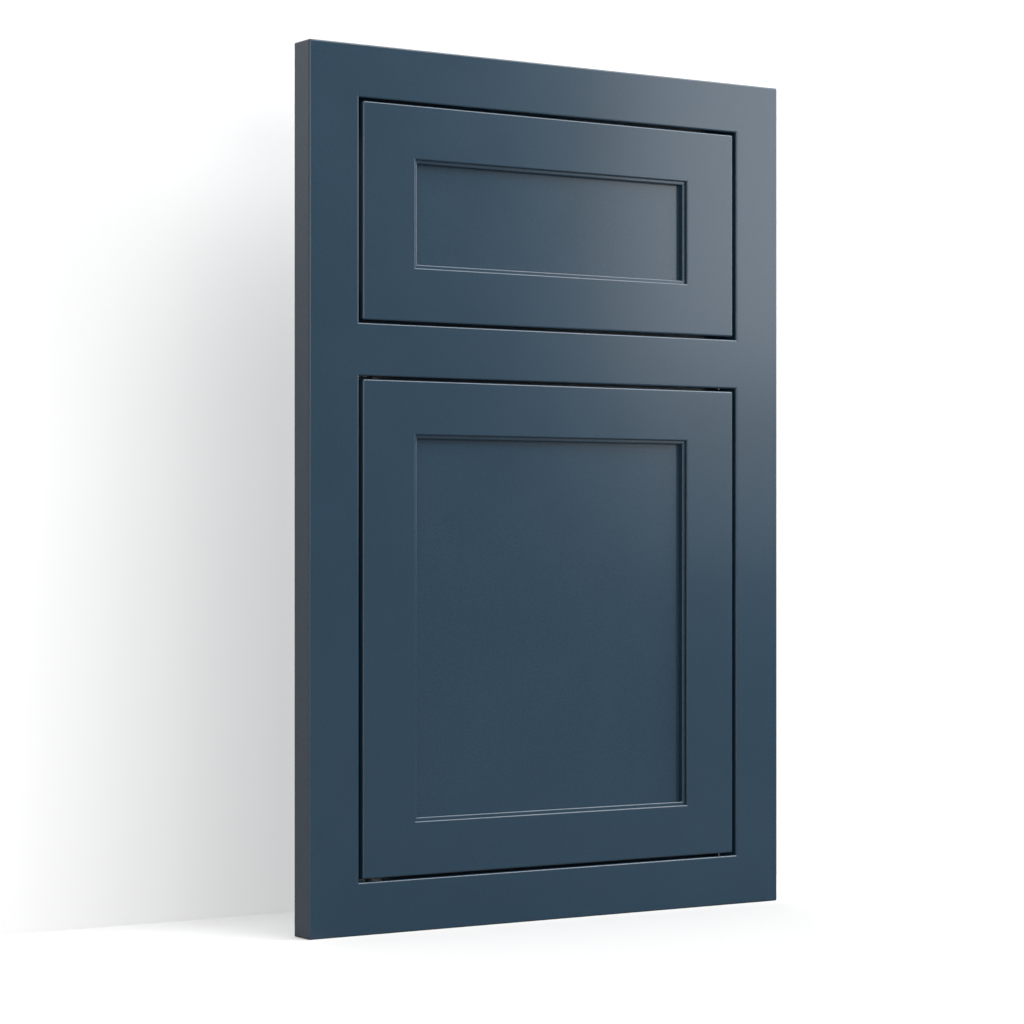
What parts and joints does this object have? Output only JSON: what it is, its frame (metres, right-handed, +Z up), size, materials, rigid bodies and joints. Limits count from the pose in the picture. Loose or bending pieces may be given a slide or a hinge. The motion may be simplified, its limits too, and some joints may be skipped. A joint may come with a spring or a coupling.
{
  "type": "kitchen cabinet door",
  "caption": "Painted face frame with a flush drawer front above and a flush hinged door below, each a frame of stiles and rails round a flat recessed panel.",
  "frame": {"origin": "middle of the bottom edge of the face frame, halfway through its thickness", "axes": "+Z up along the stiles, -Y out of the painted front, +X to the right as seen from the front"},
  "size_m": [0.3766, 0.031, 0.57],
  "materials": {
    "paint": "satin slate blue paint on wood",
    "bare_wood": "planed, not painted",
    "zinc_steel": "bright zinc plate",
    "brass": "turned",
    "black_steel": "blackened",
    "black_acetal": "plain",
    "rubber": "matt"
  },
  "bodies": {
    "frame": {"frame_stile_left": "paint", "frame_stile_right": "paint", "frame_rail_top": "paint", "frame_rail_middle": "paint", "frame_rail_bottom": "paint", "drawer_stile_left": "paint", "drawer_stile_right": "paint", "drawer_rail_top": "paint", "drawer_rail_bottom": "paint", "drawer_panel": "paint", "frame_dowels": "bare_wood", "cleat_upper": "paint", "cleat_lower": "paint", "stop_upper": "paint", "stop_lower": "paint", "strip_screws": "zinc_steel", "magnet": "zinc_steel", "bumpers": "rubber", "pivot_bush_top": "brass", "pivot_bush_bottom": "brass", "pivot_washer": "black_acetal"},
    "door": {"door_stile_left": "paint", "door_stile_right": "paint", "door_rail_top": "paint", "door_rail_bottom": "paint", "door_panel": "paint", "pivot_plate_top": "black_steel", "pivot_plate_bottom": "black_steel", "pivot_pin_top": "black_steel", "pivot_spring": "black_steel", "pivot_screws": "black_steel", "strike_disc": "zinc_steel", "strike_screw": "zinc_steel"}
  },
  "joints": [
    {"name": "door_hinge", "type": "hinge", "parent": "frame", "child": "door", "pos_m": [-0.13695, -0.0025, 0.034], "axis": [0, 0, -1], "range_deg": [0, 105]}
  ]
}
